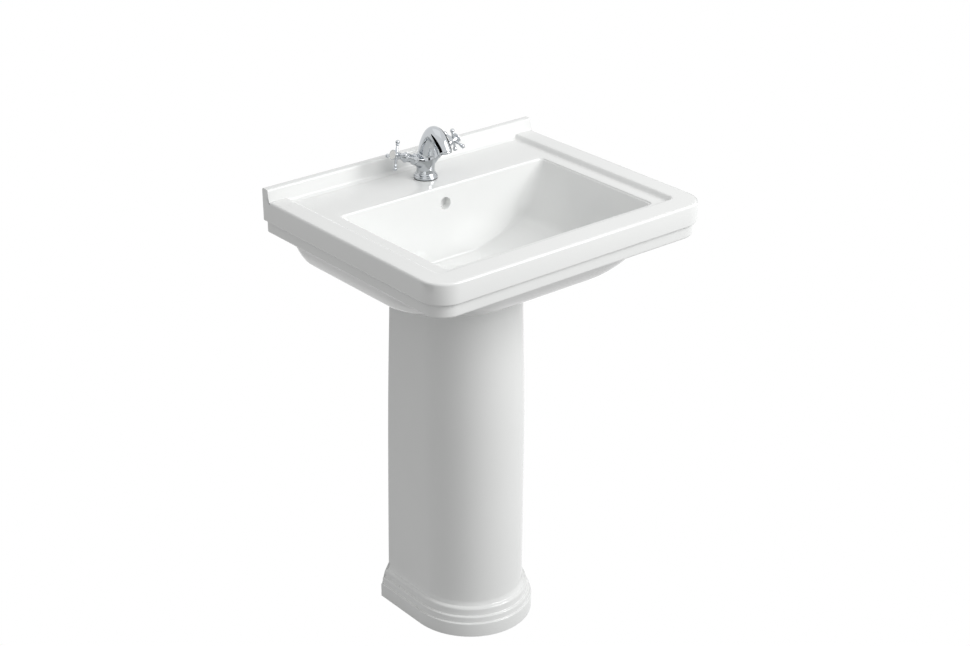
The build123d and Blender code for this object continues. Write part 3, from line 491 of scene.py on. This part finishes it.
def lug_grid(side):
    """A lug inside the foot: a block with a hole for its floor screw, as rings from the block in to the hole."""
    block = plan_rings([15.0], [-17.0], [17.0], [2.0], [2.0], 10, 6)[0]
    hole = 4.5 * block / np.linalg.norm(block, axis=1)[:, None]
    middle = np.array([75.0 * side, WALL - 96.0])
    rings = [levelled((ring + middle)[None], [height])[0] for ring, height in
             ((block, 0.4), (block, 17.5), (block * 0.98, 18), (hole, 18), (hole, 0.4), (block, 0.4))]
    return np.concatenate([np.array(rings), np.array(rings)[:, :1]], axis=1)


skin, end_strips = pedestal_grid()
pedestal = new_object("pedestal_glazed",
                      mesh_from("pedestal_glazed", [skin] + end_strips + [lug_grid(-1), lug_grid(1)]))
dress(pedestal, pedestal_china, "basin_and_pedestal", ["pedestal"])


# The tap.
def spout_curve(steps=60):
    """The spout's centre line: two cubics that meet level at the crest, up from the column and down to the mouth."""
    foot, crest, mouth = np.array([0.0, 40.0]), np.array([-27.4, 88.2]), np.array([-57.0, 60.5])
    lean = math.radians(28)
    spans = [(foot, crest, (0, 14), (-44, 0)), (crest, mouth, (-37, 0), (-41 * math.sin(lean), -41 * math.cos(lean)))]
    line = []
    for start, stop, leave, arrive in spans:
        t = np.linspace(0, 1, steps)[:, None]
        line.append((1 + 2 * t) * (1 - t) ** 2 * start + t * (1 - t) ** 2 * np.array(leave)
                    + t ** 2 * (3 - 2 * t) * stop + t ** 2 * (t - 1) * np.array(arrive))
    line = np.vstack([line[0], line[1][1:]])
    return np.column_stack([np.zeros(len(line)), line]) + TAP_FOOT


def arm(side):
    """The way an arm leaves the column: outwards and tilted up."""
    return np.array([side * math.cos(ARM_TILT), 0, math.sin(ARM_TILT)])


spine = spout_curve()
lengths = np.concatenate([[0], np.cumsum(np.linalg.norm(np.diff(spine, axis=0), axis=1))])
taper = 15.2 + (13.8 - 15.2) * lengths / lengths[-1]
mouth, mouth_way = spine[-1], unit(spine[-1] - spine[-2])
column_profile = soft_line([(0, 3), (18.2, 3), (16.3, 15, 12), (17.2, 26, 12), (17.2, 36, 10), (15.4, 44), (0, 44)], 8)
arm_profile = soft_line([(0, 0), (15.0, 0), (14.8, 7, 8), (12.4, 18, 10), (10.4, 24.5), (10.4, 26), (0, 26)], 6)
casting = new_object("tap_casting", mesh_from("tap_casting", [
    lathe(column_profile, TAP_FOOT), tube(spine, taper), lathe(arm_profile, ARM_ROOT, arm(-1)),
    lathe(arm_profile, ARM_ROOT, arm(1))]))
blend = casting.modifiers.new("cast_as_one", "REMESH")
blend.mode, blend.voxel_size = "VOXEL", 0.7 * MM
relax = casting.modifiers.new("polished_joints", "SMOOTH")
relax.factor, relax.iterations = 0.5, 26
finished(casting)
dress(casting, chrome, "basin_and_pedestal", ["tap_body"], 60)

base = lathe(soft_line([(0, 0), (22, 0, 0.6), (22, 3.2, 1.0), (20.6, 4.2, 0.5), (20.8, 6, 1.2), (18.6, 7.4, 1.2),
                        (17.6, 10, 1.5), (15, 10), (0, 10)], 5), TAP_FOOT)
dress(new_object("tap_base_flange", mesh_from("tap_base_flange", [base])), chrome, "basin_and_pedestal",
      ["tap_body"])

aerator = lathe(soft_line([(0, -4), (13.2, -4), (13.9, -2.2, 0.8), (13.2, -0.4, 0.3), (12.6, 0, 0.3), (12.6, 1.7, 0.8),
                           (11.8, 2.5, 0.5), (9.0, 2.5, 0.4), (9.0, -1.5), (0, -1.5)], 5), mouth, mouth_way)
dress(new_object("aerator_ring", mesh_from("aerator_ring", [aerator])), chrome, "basin_and_pedestal",
      ["aerator_housing"])

spoke_profile = soft_line([(0, 2), (3.1, 2), (2.9, 8, 4), (2.1, 16, 4), (2.2, 18.2, 0.6), (3.1, 19, 0.5), (3.1, 19.8, 0.5),
                           (2.1, 20.4, 0.4), (2.6, 20.96)], 4)
ball = [(4.0 * math.cos(a), 24 + 4.0 * math.sin(a)) for a in np.linspace(-0.86, math.pi / 2, 14)]
spoke_profile = np.vstack([spoke_profile, ball[1:]])
hub_profile = soft_line([(0, 49.5), (8.3, 49.5), (8.3, 48, 0.2), (9.5, 48, 0.3), (9.5, 49.4, 0.6), (7.6, 53, 2.5),
                         (6.0, 58, 3), (5.8, 62.5, 3), (7.4, 66, 2), (7.4, 74, 2), (6.1, 75.6, 0.8), (9.0, 77.2, 0.8),
                         (9.0, 79, 0.5), (8.25, 79, 0.2), (8.25, 77.4), (0, 77.4)], 5)
cap_profile = soft_line([(0, 77.5), (8.2, 77.5), (8.2, 78.9, 0.6), (6.4, 79.5, 3), (3.5, 79.75, 3), (0, 79.8)], 5)
bonnet_profile = soft_line([(6.05, 26), (10.5, 26, 0.4), (10.5, 29, 0.8), (9.5, 30.2, 0.6), (7.6, 34.2, 2.5), (7.6, 40, 2),
                            (8.2, 45, 0.8), (8.2, 47, 0.5), (6.05, 47, 0.3), (6.05, 26)], 5)
for label, side in (("hot", -1), ("cold", 1)):
    way, body = arm(side), label + "_handle"
    middle = ARM_ROOT + way * 70
    spokes = []
    for step in range(4):
        angle = math.radians(17 + 90 * step)
        out = np.array([0, 1, 0]) * math.cos(angle) + np.cross(way, (0, 1, 0)) * math.sin(angle)
        spokes.append(lathe(spoke_profile, middle, out, 32))
    cross = new_object("cross_" + label, mesh_from("cross_" + label, [lathe(hub_profile, ARM_ROOT, way, 64)] + spokes))
    dress(cross, chrome, body, ["cross_handle_" + label])
    cap = new_object("porcelain_cap_" + label, mesh_from("cap_" + label, [lathe(cap_profile, ARM_ROOT, way, 64)]))
    dress(cap, porcelain, body, ["index_cap_" + label])
    bonnet = new_object("bonnet_sleeve_" + label,
                        mesh_from("bonnet_" + label, [lathe(bonnet_profile, ARM_ROOT, way, 64)]))
    dress(bonnet, chrome, "basin_and_pedestal", ["bonnet_" + label])

# The waste, of which only the domed plug shows.
plug_level = DECK - BOWL_DEPTH + 0.2
plug = lathe(soft_line([(0, -40), (4, -40), (4, 0), (29, 0, 0.3), (29, 1, 0.5), (23.2, 2.6, 20), (11.6, 3.2, 20),
                        (0, 3.2)], 5), (*DRAIN, plug_level))
dress(new_object("domed_plug", mesh_from("domed_plug", [plug])), chrome, "waste_plug", ["plug"])

# The solids that have no piece of their own stay as they are, as copies whose round faces shade smoothly.
shown = {name: node for name, node in frame["nodes"].items() if not node.hide_render}
slots = {part["node"]: part["material_slot"] for part in frame["record"]["subparts"]}
bodies = {name: body for body, names in frame["record"]["behaviour"]["bodies"].items() for name in names}
for name, node in shown.items():
    copied = node.data.copy()
    copied.transform(node.matrix_world)
    work = bmesh.new()
    work.from_mesh(copied)
    bmesh.ops.remove_doubles(work, verts=work.verts, dist=1e-6)
    work.to_mesh(copied)
    work.free()
    dress(new_object(name + "_shaded", copied), SLOT_MATERIALS[slots[name]], bodies[name], [name])

# Floor, light and camera. The floor and the room are white to the camera and to polished metal.
def white_room(tree, lit, output):
    """Mixes the surface that lights the object with plain white, which camera, mirrored and clear rays see."""
    rays = add_node(tree, "ShaderNodeLightPath")
    direct = add_node(tree, "ShaderNodeMath", {"operation": "MAXIMUM"}, {0: rays.outputs["Is Camera Ray"],
                                                                         1: rays.outputs["Is Glossy Ray"]})
    seen = add_node(tree, "ShaderNodeMath", {"operation": "MAXIMUM"}, {0: direct.outputs[0],
                                                                       1: rays.outputs["Is Transmission Ray"]})
    white = add_node(tree, "ShaderNodeEmission" if output == "ShaderNodeOutputMaterial" else "ShaderNodeBackground",
                     {"Color": (1, 1, 1, 1), "Strength": 1.0})
    mixed = add_node(tree, "ShaderNodeMixShader",
                     links={"Fac": seen.outputs[0], 1: lit.outputs[0], 2: white.outputs[0]})
    add_node(tree, output, links={"Surface": mixed.outputs[0]})


def stage_sheet(name, corners, material):
    """A flat sheet of the studio through four corners in millimetres."""
    corners = np.array(corners, float).reshape(2, 2, 3)
    sheet = new_object(name, mesh_from(name, [corners]))
    sheet.data.materials.append(material)
    return sheet


floor_material = bpy.data.materials.new("white_studio_floor")
floor_material.use_nodes = True
floor_material.node_tree.nodes.clear()
matt = add_node(floor_material.node_tree, "ShaderNodeBsdfDiffuse", {"Color": colour("#9C9C9C")})
white_room(floor_material.node_tree, matt, "ShaderNodeOutputMaterial")
stage_sheet("studio_floor", [(-6000, -6000, -0.5), (6000, -6000, -0.5), (-6000, 6000, -0.5), (6000, 6000, -0.5)],
            floor_material)

world = bpy.data.worlds.new("studio")
bpy.context.scene.world = world
world.use_nodes = True
world.node_tree.nodes.clear()
around = add_node(world.node_tree, "ShaderNodeBackground", {"Color": colour("#F2F2F2"), "Strength": 0.616})
white_room(world.node_tree, around, "ShaderNodeOutputWorld")

# Three black studio cards that only mirrored rays meet: polished metal is grey without something dark to show.
card_material = bpy.data.materials.new("black_card")
card_material.use_nodes = True
card_material.node_tree.nodes.clear()
black = add_node(card_material.node_tree, "ShaderNodeBsdfDiffuse", {"Color": colour("#101010")})
add_node(card_material.node_tree, "ShaderNodeOutputMaterial", links={"Surface": black.outputs[0]})
for name, corners in (("card_left", [(-2200, -800, 60), (-2200, 1600, 60), (-2200, -800, 1700), (-2200, 1600, 1700)]),
                      ("card_front", [(-100, -3000, 60), (1300, -3000, 60), (-100, -3000, 1500), (1300, -3000, 1500)]),
                      ("card_right", [(2400, 0, 300), (2400, 2200, 300), (2400, 0, 1500), (2400, 2200, 1500)])):
    card = stage_sheet(name, corners, card_material)
    card.visible_camera = card.visible_diffuse = card.visible_shadow = False


def soft_lamp(name, place, aim, size, power):
    """A large square area lamp at a place in metres, turned to face another."""
    lamp = bpy.data.lights.new(name, "AREA")
    lamp.shape, lamp.size, lamp.size_y, lamp.energy = "RECTANGLE", size[0], size[1], power
    obj = bpy.data.objects.new(name, lamp)
    bpy.context.collection.objects.link(obj)
    obj.location = place
    obj.rotation_euler = (Vector(aim) - Vector(place)).to_track_quat("-Z", "Y").to_euler()


soft_lamp("key_front_right", (1.6, -2.6, 2.6), (0, 0, 0.7), (1.8, 1.8), 88)
soft_lamp("fill_above", (-0.2, 0.2, 3.4), (0, 0, 0.8), (2.6, 2.6), 4)

camera_data = bpy.data.cameras.new("photo_camera")
camera_data.sensor_width, camera_data.lens = 36.0, 36.0 * 1946.05 / 970
camera_data.clip_start, camera_data.clip_end = 0.05, 50.0
camera = bpy.data.objects.new("photo_camera", camera_data)
bpy.context.collection.objects.link(camera)
azimuth, elevation = math.radians(-39.32), math.radians(25.09)
back = Vector((math.sin(azimuth) * math.cos(elevation), -math.cos(azimuth) * math.cos(elevation), math.sin(elevation)))
camera.location = (-2.0042, -2.4451, 2.0968)
camera.rotation_euler = back.to_track_quat("Z", "Y").to_euler()
bpy.context.scene.camera = camera
bpy.context.scene.view_settings.view_transform = "Standard"
